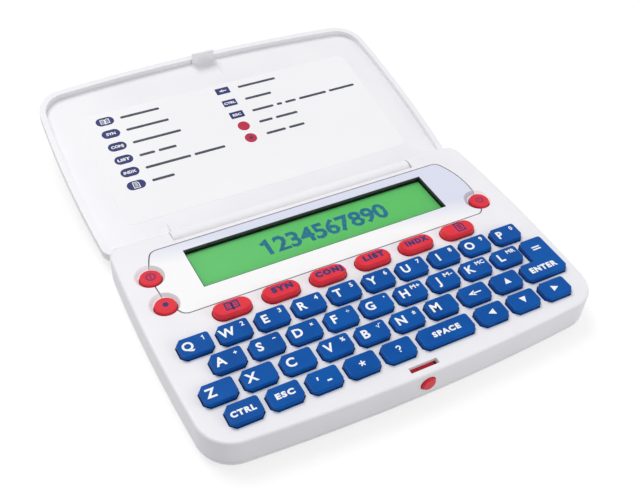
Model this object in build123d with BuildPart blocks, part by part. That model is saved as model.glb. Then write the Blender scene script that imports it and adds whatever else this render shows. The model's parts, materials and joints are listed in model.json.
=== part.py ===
from build123d import *
import os
from math import cos, radians, sin, sqrt, tan

# Handheld electronic dictionary: a keyboard, a one-line display and a lid that opens nearly flat.
# Millimetres. +X is to the user's right, +Y runs from the user to the hinge, +Z is up.
# The origin is in the middle of the base's flat underside, on the surface that it lies on.
# The lid is modelled open, behind the base and leaning a little above the horizontal.

# Keyboard
key_pitch = 12.0            # between key centres along a row
row_pitch = 8.72            # between rows
key_width = 10.1
key_depth = 6.8
key_corner = 1.5            # cut corners of a key
key_edge = 0.35             # bevel round the top of a key
key_draft = 1.0             # degrees
key_stand = 1.6             # a key's top above the deck
key_travel = 0.8
key_gap = 0.3               # between a key and its hole
side_to_q = 11.1            # left side to the Q key's centre
p_to_side = 13.5            # P key's centre to the right side
latch_to_row_4 = 0.85       # between the pressed-back latch and the bottom row's flanges
row_2_shift = 6.1           # A, Z, control and left arrow keys against the Q key
row_3_shift = -0.5
row_4_shift = 3.1
space_gap = 2.1             # between the space key and its neighbours
enter_gap = 1.55            # between the L-shaped enter key and its neighbours
enter_to_side = 4.0         # its right edge to the side of the base

# Pill-shaped keys and round buttons
pill_width = 12.0
pill_depth = 6.0
pill_stand = 1.9            # a pill key's top above the deck
pill_edge = 0.6
pill_pitch = 15.95
pill_to_row_1 = 8.6
pill_shift = -0.1           # middle of the pill row against the middle of the base
button_radius = 3.35
button_stand = 0.6          # a round button's top above the deck
button_edge = 0.3
button_dish = 4.7           # radius of the dish that a button stands in
dish_shift = 1.05           # dish's centre behind the button's
dish_depth = 0.7
dish_slope = 1.2            # width of the dish's sloping side
left_button_out = 4.0       # button's centre beyond the end of the bezel's straight edges
right_button_out = 2.5
button_to_side = 9.3        # left buttons' centres to the side of the base
low_button_rise = 5.1       # low buttons' centres above the bezel's front edge
button_spacing = 12.4       # between the two left buttons

# Base
base_height = 12.0          # underside to deck
parting_height = 3.4        # where the two housings meet
parting_gap = 0.1
wall = 1.8
deck_thickness = 1.8
floor_thickness = 1.8
front_bow = 3.1             # how far the front edge bulges
side_bow = 1.5              # and each side
front_corner = 11.0
back_corner = 6.5
deck_edge = 0.9             # rounding round the deck
belly_land = 0.1            # upright strip between the parting line and the rounded underside
lip_height = 1.0            # lip of the lower housing, inside the upper one
lip_thickness = 0.9
fit_gap = 0.15              # between pieces that locate each other

# Display
bezel_to_pills = 4.35       # bezel's front edge to the pill row's centre
bezel_side = 9.2            # window's end to the end of the bezel's straight edges
bezel_bulge = 3.9           # how far its ends bow outwards
bezel_corner = 3.0
bezel_thickness = 1.0
bezel_edge = 0.2
bezel_gap = 0.2
peg_radius = 0.8
peg_inset = 3.0
window_width = 87.6
window_depth = 17.1
window_rise = 7.7           # bezel's front edge to the window
window_to_back = 3.7        # window to the bezel's back edge
lens_border = 1.4           # lens outside the window on each side
lens_thickness = 0.8
lcd_border = 2.2            # display panel outside the window
lcd_border_depth = 2.9
lcd_thickness = 1.9
lcd_rib = 1.0
lcd_rib_end = 8.0           # length of the ribs at the panel's ends
back_strip = 1.6            # deck behind the bezel

# Hinge and lid
ear_radius = 3.0            # half-round top of the base's two back ears
ear_web = 1.2               # behind the bearings
knuckle_radius = 2.9
knuckle_width = 88.7
heel_radius = 2.7
web_reach = 2.0             # barrel's web to the lid, in front of the barrel's axis
hinge_gap = 0.3             # round and beside the knuckle
pin_radius = 1.5
pin_length = 3.4
pin_clearance = 0.08
stop_gap = 0.1
lid_lean = 9.7              # above the horizontal when open, degrees
lid_gap = 0.1               # between the closed lid's rim and the deck
lid_setback = 0.5           # closed lid's front edge behind the base's
lid_plate = 2.0
lid_rim_height = 2.0
lid_rim_width = 2.0
lid_back_gap = 0.35         # between an ear and the lid's near edge
lid_corner = 4.0            # lid's corners by the hinge
lid_edge = 0.9
hinge_pad_width = 84.0      # raised strip along the knuckle, inside the lid
hinge_pad_reach = 9.5

# Latch
hook_width = 8.4
hook_thickness = 1.1
hook_reach = 3.2            # beyond the lid's rim
hook_bevel = 0.4
barb = 0.5
barb_height = 0.8
hook_gap = 0.1
slot_side_gap = 0.5
relief_width = 10.3         # shallow relief in the lid in front of the hook
relief_reach = 7.1
relief_gap = 1.1
relief_depth = 0.2
release_radius = 2.3
release_height = 7.8        # underside to the release button's centre
release_proud = 0.8
release_travel = 0.8
release_gap = 0.25
release_edge = 0.4
slider_width = 14.0
slider_thickness = 1.0
slider_rib = 3.0
slider_tail = 0.4           # slider behind its catch
catch_width = 8.0
catch_post = 0.55
catch_depth = 1.15          # post and lip together
catch_lip = 0.9             # height of the lip that holds the barb
catch_ramp = 0.5
spring_thickness = 0.25
spring_height = 2.4
spring_bow = 1.2
spring_half = 8.0
spring_stop = 0.7
spring_stop_width = 4.0
spring_stop_inset = 2.0     # its centre from the spring's end
latch_bay_margin = 3.0      # beside the spring

# Inside
board_thickness = 1.0
board_gap = 0.5
rest_width = 8.0            # ribs that carry the circuit board
rest_thickness = 1.0
rest_place = 44.8           # their centres from the middle
mat_thickness = 0.6
dome_radius = 2.1
dome_draft = 25             # degrees
pad_depth = 1.6             # rubber strips under the display panel
flange_thickness = 1.0
flange_spacing = 0.82       # between the flanges of neighbouring rows
flange_lip = 0.55           # flange round a pill key or a round button
flange_gap = 0.1
plunger_size = 2.2
boss_radius = 2.3
boss_to_key = 0.85          # between a front boss and the bottom row's end key
front_boss_shift = 0.5      # front bosses behind that row's centre
middle_boss_inset = 5.0     # from the sides; the bosses by the pill keys
middle_boss_shift = 1.4     # behind the pill keys' centres
back_boss_inset = 5.4       # from the sides; the bosses behind the round buttons
boss_to_button = 1.2        # between a back boss and the button in front of it
screw_radius = 1.0
thread_gap = 0.05
screw_head_radius = 1.9
screw_head_height = 1.3
screw_length = 7.0
screw_end_gap = 0.5         # beyond a screw's tip
screw_sink = 0.4            # screw head below the underside
cross_width = 0.6
cross_length = 2.4
cross_depth = 0.6
cell_radius = 10.0
cell_thickness = 3.2
cell_web = 2.4              # between the two cells
cell_gap = 0.4              # between a cell and the cover
bay_to_hinge = 0.25         # battery bay to the hinge's wall
contact_thickness = 0.3
contact_width = 4.0
contact_length = 12.0
contact_drop = 2.2
bay_gap = 0.6
bay_wall = 1.2
cover_thickness = 1.3
cover_ledge = 1.0
cover_corner = 2.0
cover_tongue = 3.4          # radius of the tongue that takes the cover's screw
tongue_reach = 1.2
cover_screw_head = 0.7
cover_screw_length = 3.0
tab_width = 5.0
tab_thickness = 0.5
tab_reach = 1.2

# Places worked out from the sizes above
keyboard_width = side_to_q + 9 * key_pitch + p_to_side
bezel_end = window_width / 2 + bezel_side
left_button_x = bezel_end + left_button_out
right_button_x = bezel_end + right_button_out
base_width = max(keyboard_width, 2 * (left_button_x + button_to_side))
key_flange = row_pitch - flange_spacing
latch_depth = lid_setback + lid_rim_width + hook_thickness + hook_gap + catch_depth + release_travel
front_to_row_4 = latch_depth + latch_to_row_4 + key_flange / 2
keyboard_depth = front_to_row_4 + 3 * row_pitch + pill_to_row_1
bezel_depth = window_rise + window_depth + window_to_back
front_to_notch = keyboard_depth + bezel_to_pills + bezel_depth + back_strip
base_depth = front_to_notch + hinge_gap + knuckle_radius + ear_radius
half_width = base_width / 2
front_y = -base_depth / 2
back_y = base_depth / 2
notch_y = front_y + front_to_notch
notch_half = knuckle_width / 2 + hinge_gap
hinge_y = back_y - ear_radius
hinge_z = base_height - ear_radius
cavity_back = notch_y - wall
cavity_back_half = notch_half + pin_length + hinge_gap + ear_web
deck_under = base_height - deck_thickness
q_x = side_to_q - keyboard_width / 2
arrow_shift = row_3_shift + 7 * key_pitch               # arrow keys go on where the M key ends
row_4_y = front_y + front_to_row_4
row_3_y = row_4_y + row_pitch
row_2_y = row_3_y + row_pitch
row_1_y = row_2_y + row_pitch
pill_y = row_1_y + pill_to_row_1
bezel_front = pill_y + bezel_to_pills
bezel_back = bezel_front + bezel_depth
bezel_seat = base_height - bezel_thickness
window_y = bezel_front + window_rise + window_depth / 2
lens_width = window_width + 2 * lens_border
lens_depth = window_depth + 2 * lens_border
lcd_width = window_width + 2 * lcd_border
lcd_depth = window_depth + 2 * lcd_border_depth
lcd_bottom = deck_under - lcd_thickness
board_bottom = cover_thickness + cell_gap + cell_thickness + contact_thickness
board_top = board_bottom + board_thickness
mat_top = board_top + mat_thickness
flange_top = deck_under - flange_gap
flange_bottom = flange_top - flange_thickness
plunger_bottom = flange_bottom - key_travel
lip_top = parting_height + lip_height
screw_tip = screw_sink + screw_head_height + screw_length
cell_spacing = 2 * cell_radius + cell_web
cell_top = board_bottom - contact_thickness
cell_bottom = cell_top - cell_thickness
bay_width = cell_spacing + 2 * cell_radius + 2 * bay_gap
bay_depth = 2 * cell_radius + 2 * bay_gap
cell_y = cavity_back - bay_to_hinge - bay_wall - bay_depth / 2
cover_width = bay_width + 2 * cover_ledge
cover_depth = bay_depth + 2 * cover_ledge
cover_screw_y = cell_y - cover_depth / 2 - tongue_reach
hook_front_y = front_y + lid_setback + lid_rim_width    # the hook with the lid closed
hook_back_y = hook_front_y + hook_thickness
hook_tip_z = base_height + lid_gap - hook_reach
catch_front_y = hook_back_y + hook_gap
catch_back_y = catch_front_y + catch_depth
catch_under = hook_tip_z + barb_height + hook_gap
catch_top = catch_under + catch_lip
slider_top = plunger_bottom - flange_gap
slider_front_y = front_y + wall + fit_gap
slider_back_y = catch_back_y + slider_tail
rib_bottom = release_height - sqrt(release_radius**2 - (slider_rib / 2) ** 2)
spring_bottom = slider_top - spring_height - flange_gap
spring_rest_y = slider_back_y + spring_bow + spring_thickness
latch_bay_back = spring_rest_y + spring_stop + flange_gap
latch_bay_half = spring_half + latch_bay_margin
front_boss_reach = key_width / 2 + boss_to_key + boss_radius      # from an end key's centre
back_boss_y = bezel_front + low_button_rise + button_spacing + button_radius + flange_lip
back_boss_y += boss_to_button + boss_radius
boss_places = [
    (q_x + row_4_shift - front_boss_reach, row_4_y + front_boss_shift),
    (q_x + arrow_shift + 2 * key_pitch + front_boss_reach, row_4_y + front_boss_shift),
    (middle_boss_inset - half_width, pill_y + middle_boss_shift),
    (half_width - middle_boss_inset, pill_y + middle_boss_shift),
    (back_boss_inset - half_width, back_boss_y),
    (half_width - back_boss_inset, back_boss_y),
]
peg_places = [
    (side * (bezel_end - peg_inset), y)
    for y in (bezel_front + peg_inset, bezel_back - peg_inset)
    for side in (-1, 1)
]
cell_places = [(-cell_spacing / 2, cell_y), (cell_spacing / 2, cell_y)]
tab_places = [(side * cell_spacing / 2, cell_y + cover_depth / 2) for side in (-1, 1)]

# The open lid's own directions: Y from the hinge axis to the far edge, Z out of its inner face
lean = radians(lid_lean)
lid_frame = Plane(origin=(0, hinge_y, hinge_z), x_dir=(1, 0, 0), z_dir=(0, -sin(lean), cos(lean)))
heel_direction = (0, sin(lean) - cos(lean), -sin(lean) - cos(lean))
lid_near = ear_radius + lid_back_gap
lid_far = hinge_y - front_y - lid_setback
rim_level = -(ear_radius + lid_gap)
tray_level = rim_level - lid_rim_height
lid_back_level = tray_level - lid_plate


def across(x):
    # Plane square to the hinge axis; its X is the base's Y and its Y is up.
    return Plane(origin=(x, 0, 0), x_dir=(0, 1, 0), z_dir=(1, 0, 0))


def across_y(y):
    # Plane square to Y through the release button's axis, facing the hinge.
    return Plane(origin=(0, y, release_height), x_dir=(1, 0, 0), z_dir=(0, 1, 0))


def across_lid(x):
    # The same about the hinge axis, in the open lid's directions.
    return Plane(origin=(x, hinge_y, hinge_z), x_dir=(0, cos(lean), sin(lean)), z_dir=(1, 0, 0))


def bowed_plan(half, straight_y, bowed_y, straight_corner, bowed_corner):
    # Rectangle with one straight edge, an opposite edge on a wide arc and slightly bulging sides.
    end_y = bowed_y - front_bow if bowed_y > straight_y else bowed_y + front_bow
    middle_y = (straight_y + bowed_y) / 2
    end = half - side_bow
    with BuildSketch(Plane.XY) as plan:
        with BuildLine():
            ThreePointArc((-end, end_y), (0, bowed_y), (end, end_y))
            ThreePointArc((end, end_y), (half, middle_y), (end, straight_y))
            Line((end, straight_y), (-end, straight_y))
            ThreePointArc((-end, straight_y), (-half, middle_y), (-end, end_y))
        make_face()
        fillet([v for v in plan.vertices() if abs(v.Y - straight_y) > 1], bowed_corner)
        fillet([v for v in plan.vertices() if abs(v.Y - straight_y) < 0.001], straight_corner)
    return plan.sketch


def base_plan(inset):
    return bowed_plan(
        half_width - inset, back_y - inset, front_y + inset, back_corner - inset, front_corner - inset
    )


def lid_plan(inset):
    return bowed_plan(
        half_width - inset, lid_near + inset, lid_far - inset, lid_corner - inset, front_corner - inset
    )


def bezel_plan(grow):
    # Parallel front and back edges, and ends that bow outwards.
    half = bezel_end + grow
    low = bezel_front - grow
    high = bezel_back + grow
    with BuildSketch(Plane.XY) as plan:
        with BuildLine():
            Line((-half, low), (half, low))
            ThreePointArc((half, low), (half + bezel_bulge, (low + high) / 2), (half, high))
            Line((half, high), (-half, high))
            ThreePointArc((-half, high), (-half - bezel_bulge, (low + high) / 2), (-half, low))
        make_face()
        fillet(plan.vertices(), bezel_corner + grow)
    return plan.sketch


def block_plan(width):
    # A key's rectangle with its corners cut.
    with BuildSketch(Plane.XY) as plan:
        Rectangle(width, key_depth)
        chamfer(plan.vertices(), key_corner)
    return plan.sketch


def enter_plan():
    # L shape over two rows, about the middle of its foot; its inside corner stays square.
    right = enter_width / 2
    neck = enter_right - neck_left
    low = -key_depth / 2
    high = key_depth / 2 + row_pitch
    with BuildSketch(Plane.XY) as plan:
        Rectangle(enter_width, key_depth)
        with Locations((right, low)):
            Rectangle(neck, high - low, align=(Align.MAX, Align.MIN))
        outside = [v for v in plan.vertices() if abs(v.X) > right - 0.01 or abs(v.Y - high) < 0.01]
        chamfer(outside, key_corner)
    return plan.sketch


def pill_plan():
    with BuildSketch(Plane.XY) as plan:
        SlotOverall(pill_width, pill_depth)
    return plan.sketch


def round_plan():
    with BuildSketch(Plane.XY) as plan:
        Circle(button_radius)
    return plan.sketch


def grown(plan, amount):
    with BuildSketch(Plane.XY) as outline:
        add(plan)
        offset(amount=amount, kind=Kind.INTERSECTION)
    return outline.sketch


def cut_behind(y, width):
    # Takes what lies behind y from the sketch under way, over the given width.
    with Locations((0, y)):
        Rectangle(width, base_depth, align=(Align.CENTER, Align.MIN), mode=Mode.SUBTRACT)


def cavity_outline(inset):
    # Inside of the base; it stops short of the hinge notch but runs back into the ears.
    with BuildSketch(Plane.XY) as plan:
        add(base_plan(wall + inset))
        cut_behind(cavity_back - inset, 2 * (cavity_back_half + inset))
    return plan.sketch


def board_outline():
    # Circuit board and key mat: clear of the screw bosses and of the latch.
    inset = fit_gap + lip_thickness + board_gap
    with BuildSketch(Plane.XY) as plan:
        add(base_plan(wall + inset))
        cut_behind(cavity_back - inset, base_width)
        with Locations(*boss_places):
            Circle(boss_radius + board_gap, mode=Mode.SUBTRACT)
        with Locations((0, latch_bay_back)):
            Rectangle(2 * latch_bay_half, base_depth, align=(Align.CENTER, Align.MAX), mode=Mode.SUBTRACT)
    return plan.sketch


def notch_section():
    # Room for the lid's knuckle: upright at the deck, then a land that leans back like the lid's
    # heel, which rests against it when the lid is open.
    stop_y = hinge_y - (knuckle_radius + stop_gap) / cos(lean)
    land_top = hinge_z + (stop_y - notch_y) / tan(lean)
    land_foot_y = stop_y + hinge_z * tan(lean)
    with BuildSketch(across(-notch_half)) as section:
        with BuildLine():
            Polyline(
                (notch_y, 2 * base_height),
                (notch_y, land_top),
                (land_foot_y, 0),
                (2 * back_y, 0),
                (2 * back_y, 2 * base_height),
                close=True,
            )
        make_face()
    return section.sketch


def cut_dishes():
    # Shallow dish round each button, sunk in the deck and in the bezel alike.
    with Locations(*[(x, y + dish_shift, base_height) for _, x, y in buttons]):
        Cone(
            button_dish - dish_slope,
            button_dish,
            dish_depth,
            align=(Align.CENTER, Align.CENTER, Align.MAX),
            mode=Mode.SUBTRACT,
        )


def save(builder, name):
    builder.part.label = name
    export_step(builder.part, "parts/" + name + ".step")


# Every key: its name, plan, centre, its flange's width and depth, and its form above the deck
letter_plan = block_plan(key_width)
pill_flange = pill_depth + 2 * flange_lip
button_flange = 2 * (button_radius + flange_lip)
block_form = (key_stand, key_edge, key_draft)
pill_form = (pill_stand, pill_edge, 0)
button_form = (button_stand, button_edge, 0)
low_button_y = bezel_front + low_button_rise
buttons = [
    ("button_help", -left_button_x, low_button_y + button_spacing),
    ("button_shift", -left_button_x, low_button_y),
    ("button_power", right_button_x, low_button_y),
]
rows = [
    ("q w e r t y u i o p", 0, row_1_y),
    ("a s d f g h j k l", row_2_shift, row_2_y),
    ("z x c v b n m", row_3_shift, row_3_y),
    ("control escape apostrophe star question", row_4_shift, row_4_y),
    ("backspace up", arrow_shift, row_3_y),
    ("left down right", arrow_shift, row_4_y),
]
keys = []
for row_names, shift, y in rows:
    for n, key_name in enumerate(row_names.split()):
        x = q_x + shift + n * key_pitch
        keys.append(("key_" + key_name, letter_plan, x, y, key_width, key_flange, block_form))
space_left = q_x + row_4_shift + 4 * key_pitch + key_width / 2 + space_gap
space_right = q_x + arrow_shift - key_width / 2 - space_gap
space_width = space_right - space_left
space_x = (space_left + space_right) / 2
enter_right = keyboard_width / 2 - enter_to_side
enter_left = q_x + arrow_shift + key_pitch + key_width / 2 + enter_gap
neck_left = q_x + row_2_shift + 8 * key_pitch + key_width / 2 + enter_gap
enter_width = enter_right - enter_left
enter_x = (enter_left + enter_right) / 2
keys.append(("key_space", block_plan(space_width), space_x, row_4_y, space_width, key_flange, block_form))
keys.append(("key_enter", enter_plan(), enter_x, row_3_y, enter_width, key_flange, block_form))
for n, key_name in enumerate(["book", "synonyms", "conjugate", "list", "index", "menu"]):
    x = pill_shift + (n - 2.5) * pill_pitch
    keys.append(("key_" + key_name, pill_plan(), x, pill_y, pill_width, pill_flange, pill_form))
for key_name, x, y in buttons:
    keys.append((key_name, round_plan(), x, y, button_flange, button_flange, button_form))

os.makedirs("parts", exist_ok=True)

# Upper housing: deck, walls and ears
with BuildPart() as top_housing:
    with BuildSketch(Plane.XY.offset(parting_height)):
        add(base_plan(0))
    extrude(amount=base_height - parting_height)
    fillet(top_housing.faces().sort_by(Axis.Z)[-1].edges(), deck_edge)
    with BuildSketch(Plane.XY.offset(parting_height)):
        add(cavity_outline(0))
    extrude(amount=deck_under - parting_height, mode=Mode.SUBTRACT)
    # Half-round back edge, about the hinge axis
    with BuildSketch(across(-half_width)):
        with Locations((hinge_y, hinge_z)):
            Rectangle(2 * ear_radius, 2 * ear_radius, align=(Align.MIN, Align.MIN))
            Circle(ear_radius, mode=Mode.SUBTRACT)
    extrude(amount=base_width, mode=Mode.SUBTRACT)
    extrude(notch_section(), amount=2 * notch_half, mode=Mode.SUBTRACT)
    # Bearings in the ears, open towards the knuckle
    for side in (-1, 1):
        with BuildSketch(across(side * notch_half)):
            with Locations((hinge_y, hinge_z)):
                Circle(pin_radius + pin_clearance)
        extrude(amount=side * (pin_length + hinge_gap), mode=Mode.SUBTRACT)
    # Screw bosses
    with BuildSketch(Plane.XY.offset(lip_top)):
        with Locations(*boss_places):
            Circle(boss_radius)
    extrude(amount=deck_under + deck_thickness / 2 - lip_top)
    with BuildSketch(Plane.XY.offset(lip_top)):
        with Locations(*boss_places):
            Circle(screw_radius + thread_gap)
    extrude(amount=screw_tip + screw_end_gap - lip_top, mode=Mode.SUBTRACT)
    # Ribs that centre the display panel; the one behind it joins the hinge's thick wall
    with BuildSketch(Plane.XY.offset(lcd_bottom)):
        for side in (-1, 1):
            with Locations((0, window_y + side * (lcd_depth / 2 + fit_gap + lcd_rib / 2))):
                Rectangle(window_width, lcd_rib)
            with Locations((side * (lcd_width / 2 + fit_gap + lcd_rib / 2), window_y)):
                Rectangle(lcd_rib, lcd_rib_end)
    extrude(amount=lcd_thickness + deck_thickness / 4)
    # Seat and peg holes for the bezel, opening for the lens
    with BuildSketch(Plane.XY.offset(bezel_seat)):
        add(bezel_plan(bezel_gap))
    extrude(amount=bezel_thickness, mode=Mode.SUBTRACT)
    with BuildSketch(Plane.XY.offset(deck_under)):
        with Locations((0, window_y)):
            Rectangle(lens_width + 2 * fit_gap, lens_depth + 2 * fit_gap)
        with Locations(*peg_places):
            Circle(peg_radius + fit_gap)
    extrude(amount=deck_thickness, mode=Mode.SUBTRACT)
    cut_dishes()
    with BuildSketch(Plane.XY.offset(deck_under)):
        for _, plan, x, y, *_ in keys:
            with Locations((x, y)):
                add(grown(plan, key_gap))
    extrude(amount=deck_thickness, mode=Mode.SUBTRACT)
    # Latch: slot for the hook, room under the deck for the catch, hole for the release button
    with BuildSketch(Plane.XY.offset(deck_under)):
        with Locations((0, hook_front_y - fit_gap)):
            Rectangle(
                hook_width + 2 * slot_side_gap,
                hook_thickness + barb + 2 * fit_gap,
                align=(Align.CENTER, Align.MIN),
            )
    extrude(amount=deck_thickness, mode=Mode.SUBTRACT)
    with BuildSketch(Plane.XY.offset(deck_under)):
        with Locations((0, hook_front_y - fit_gap)):
            Rectangle(
                catch_width + 2 * slot_side_gap,
                row_4_y - key_depth / 2 - hook_front_y + fit_gap,
                align=(Align.CENTER, Align.MIN),
            )
    extrude(amount=catch_top - deck_under + fit_gap, mode=Mode.SUBTRACT)
    with BuildSketch(across_y(front_y - release_proud)):
        Circle(release_radius + release_gap)
    extrude(amount=wall + 2 * release_proud, mode=Mode.SUBTRACT)
save(top_housing, "top_housing")

# Lower housing: floor, lip and battery bay
with BuildPart() as bottom_housing:
    with BuildSketch(Plane.XY):
        add(base_plan(0))
    extrude(amount=parting_height - parting_gap)
    belly_edge = parting_height - parting_gap - belly_land
    fillet(bottom_housing.faces().sort_by(Axis.Z)[0].edges(), belly_edge)
    with BuildSketch(Plane.XY.offset(floor_thickness)):
        add(cavity_outline(fit_gap))
    extrude(amount=lip_top - floor_thickness)
    with BuildSketch(Plane.XY.offset(floor_thickness)):
        add(cavity_outline(fit_gap + lip_thickness))
    extrude(amount=lip_top - floor_thickness, mode=Mode.SUBTRACT)
    extrude(notch_section(), amount=2 * notch_half, mode=Mode.SUBTRACT)
    # Screw posts, kept off the upper housing's walls
    with BuildSketch(Plane.XY):
        with Locations(*boss_places):
            Circle(boss_radius)
        add(base_plan(wall + fit_gap), mode=Mode.INTERSECT)
    extrude(amount=lip_top)
    with BuildSketch(Plane.XY):
        with Locations(*boss_places):
            Circle(screw_head_radius + fit_gap)
    extrude(amount=screw_sink + screw_head_height, mode=Mode.SUBTRACT)
    with BuildSketch(Plane.XY):
        with Locations(*boss_places):
            Circle(screw_radius + fit_gap)
    extrude(amount=lip_top, mode=Mode.SUBTRACT)
    # Battery bay, its cover's seat, and the post for the cover's screw
    with BuildSketch(Plane.XY):
        with Locations((0, cell_y)):
            Rectangle(bay_width + 2 * bay_wall, bay_depth + 2 * bay_wall)
        with Locations((0, cover_screw_y)):
            Circle(cover_tongue + fit_gap)
    extrude(amount=cell_top)
    with BuildSketch(Plane.XY):
        with Locations((0, cell_y)):
            Rectangle(bay_width, bay_depth)
    extrude(amount=cell_top, mode=Mode.SUBTRACT)
    with BuildSketch(Plane.XY):
        with Locations((0, cell_y)):
            RectangleRounded(cover_width + 2 * fit_gap, cover_depth + 2 * fit_gap, cover_corner + fit_gap)
        with Locations((0, cover_screw_y)):
            Circle(cover_tongue + fit_gap)
    extrude(amount=cover_thickness + fit_gap, mode=Mode.SUBTRACT)
    with BuildSketch(Plane.XY.offset(cover_thickness)):
        with Locations((0, cover_screw_y)):
            Circle(screw_radius + thread_gap)
    extrude(amount=cover_screw_length, mode=Mode.SUBTRACT)
    # Slots for the cover's tabs
    with BuildSketch(Plane.XY.offset(cover_thickness - fit_gap)):
        with Locations(*tab_places):
            Rectangle(tab_width + 2 * fit_gap, 2 * (tab_reach + fit_gap))
    extrude(amount=tab_thickness + 2 * fit_gap, mode=Mode.SUBTRACT)
    # Ribs that carry the circuit board, and the ends that the release spring bears on
    with BuildSketch(Plane.XY.offset(floor_thickness / 2)):
        for y in (row_4_y, row_1_y, cell_y):
            with Locations((-rest_place, y), (rest_place, y)):
                Rectangle(rest_width, rest_thickness)
    extrude(amount=board_bottom - floor_thickness / 2)
    with BuildSketch(Plane.XY.offset(floor_thickness / 2)):
        for side in (-1, 1):
            with Locations((side * (spring_half - spring_stop_inset), spring_rest_y)):
                Rectangle(spring_stop_width, spring_stop, align=(Align.CENTER, Align.MIN))
    extrude(amount=slider_top - floor_thickness / 2)
save(bottom_housing, "bottom_housing")

# Silver frame round the display
with BuildPart() as display_bezel:
    with BuildSketch(Plane.XY.offset(bezel_seat)):
        add(bezel_plan(0))
        with Locations((0, window_y)):
            Rectangle(window_width, window_depth, mode=Mode.SUBTRACT)
    extrude(amount=bezel_thickness)
    chamfer(display_bezel.faces().sort_by(Axis.Z)[-1].outer_wire().edges(), bezel_edge)
    cut_dishes()
    with BuildSketch(Plane.XY.offset(bezel_seat)):
        with Locations(*[(x, y) for _, x, y in buttons]):
            Circle(button_radius + key_gap)
    extrude(amount=bezel_thickness, mode=Mode.SUBTRACT)
    with BuildSketch(Plane.XY.offset(deck_under + flange_gap)):
        with Locations(*peg_places):
            Circle(peg_radius)
    extrude(amount=bezel_seat + bezel_thickness / 2 - deck_under - flange_gap)
save(display_bezel, "display_bezel")

with BuildPart() as display_window:
    with BuildSketch(Plane.XY.offset(bezel_seat - lens_thickness)):
        with Locations((0, window_y)):
            Rectangle(lens_width, lens_depth)
    extrude(amount=lens_thickness)
save(display_window, "display_window")

with BuildPart() as lcd_panel:
    with BuildSketch(Plane.XY.offset(lcd_bottom)):
        with Locations((0, window_y)):
            Rectangle(lcd_width, lcd_depth)
    extrude(amount=lcd_thickness)
save(lcd_panel, "lcd_panel")

# Circuit board, with the cells' contacts soldered under it
with BuildPart() as circuit_board:
    with BuildSketch(Plane.XY.offset(board_bottom)):
        add(board_outline())
    extrude(amount=board_thickness)
    with BuildSketch(Plane.XY.offset(cell_top)):
        with Locations(*cell_places):
            Rectangle(contact_length, contact_width)
    extrude(amount=contact_thickness)
    with BuildSketch(Plane.XY.offset(cell_top - contact_drop)):
        for x, y in cell_places:
            with Locations((x, y - cell_radius - contact_thickness)):
                Rectangle(contact_width, contact_thickness, align=(Align.CENTER, Align.MIN))
    extrude(amount=board_bottom - cell_top + contact_drop)
save(circuit_board, "circuit_board")

# Rubber mat: one dome under each key, and two strips under the display panel
with BuildPart() as key_mat:
    with BuildSketch(Plane.XY.offset(board_top)):
        add(board_outline())
    extrude(amount=mat_thickness)
    with BuildSketch(Plane.XY.offset(board_top + mat_thickness / 2)):
        for _, _, x, y, *_ in keys:
            with Locations((x, y)):
                RegularPolygon(dome_radius, 6)
    extrude(amount=plunger_bottom - board_top - mat_thickness / 2, taper=dome_draft)
    with BuildSketch(Plane.XY.offset(board_top + mat_thickness / 2)):
        for side in (-1, 1):
            with Locations((0, window_y + side * (lcd_depth / 2 - pad_depth))):
                Rectangle(window_width, pad_depth)
    extrude(amount=lcd_bottom - board_top - mat_thickness / 2)
save(key_mat, "key_mat")

# Keys: a cap through the deck, a flange that keeps it in and a plunger on its dome
for key_name, plan, x, y, flange_width, flange_depth, (stand, edge, draft) in keys:
    with BuildPart() as key:
        with BuildSketch(Plane.XY.offset(flange_top)):
            with Locations((x, y)):
                add(plan)
        extrude(amount=base_height + stand - edge - flange_top, taper=draft)
        extrude(key.faces().sort_by(Axis.Z)[-1], amount=edge, taper=45)
        with BuildSketch(Plane.XY.offset(flange_bottom)):
            with Locations((x, y)):
                Rectangle(flange_width, flange_depth)
            if key_name == "key_enter":
                with Locations((enter_right, y)):
                    Rectangle(
                        enter_right - neck_left,
                        row_pitch + key_flange / 2,
                        align=(Align.MAX, Align.MIN),
                    )
        extrude(amount=flange_thickness)
        with BuildSketch(Plane.XY.offset(plunger_bottom)):
            with Locations((x, y)):
                Rectangle(plunger_size, plunger_size)
        extrude(amount=flange_bottom - plunger_bottom)
    save(key, key_name)

# Coin cells
with BuildPart() as batteries:
    with BuildSketch(Plane.XY.offset(cell_bottom)):
        with Locations(*cell_places):
            Circle(cell_radius)
    extrude(amount=cell_thickness)
save(batteries, "batteries")

with BuildPart() as battery_cover:
    with BuildSketch(Plane.XY):
        with Locations((0, cell_y)):
            RectangleRounded(cover_width, cover_depth, cover_corner)
        with Locations((0, cover_screw_y)):
            Circle(cover_tongue)
            Circle(screw_radius + fit_gap, mode=Mode.SUBTRACT)
    extrude(amount=cover_thickness)
    with BuildSketch(Plane.XY):
        with Locations((0, cover_screw_y)):
            Circle(screw_head_radius + fit_gap)
    extrude(amount=cover_screw_head, mode=Mode.SUBTRACT)
    with BuildSketch(Plane.XY.offset(cover_thickness - fit_gap)):
        with Locations(*tab_places):
            Rectangle(tab_width, 2 * tab_reach)
    extrude(amount=tab_thickness + fit_gap)
save(battery_cover, "battery_cover")

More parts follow.
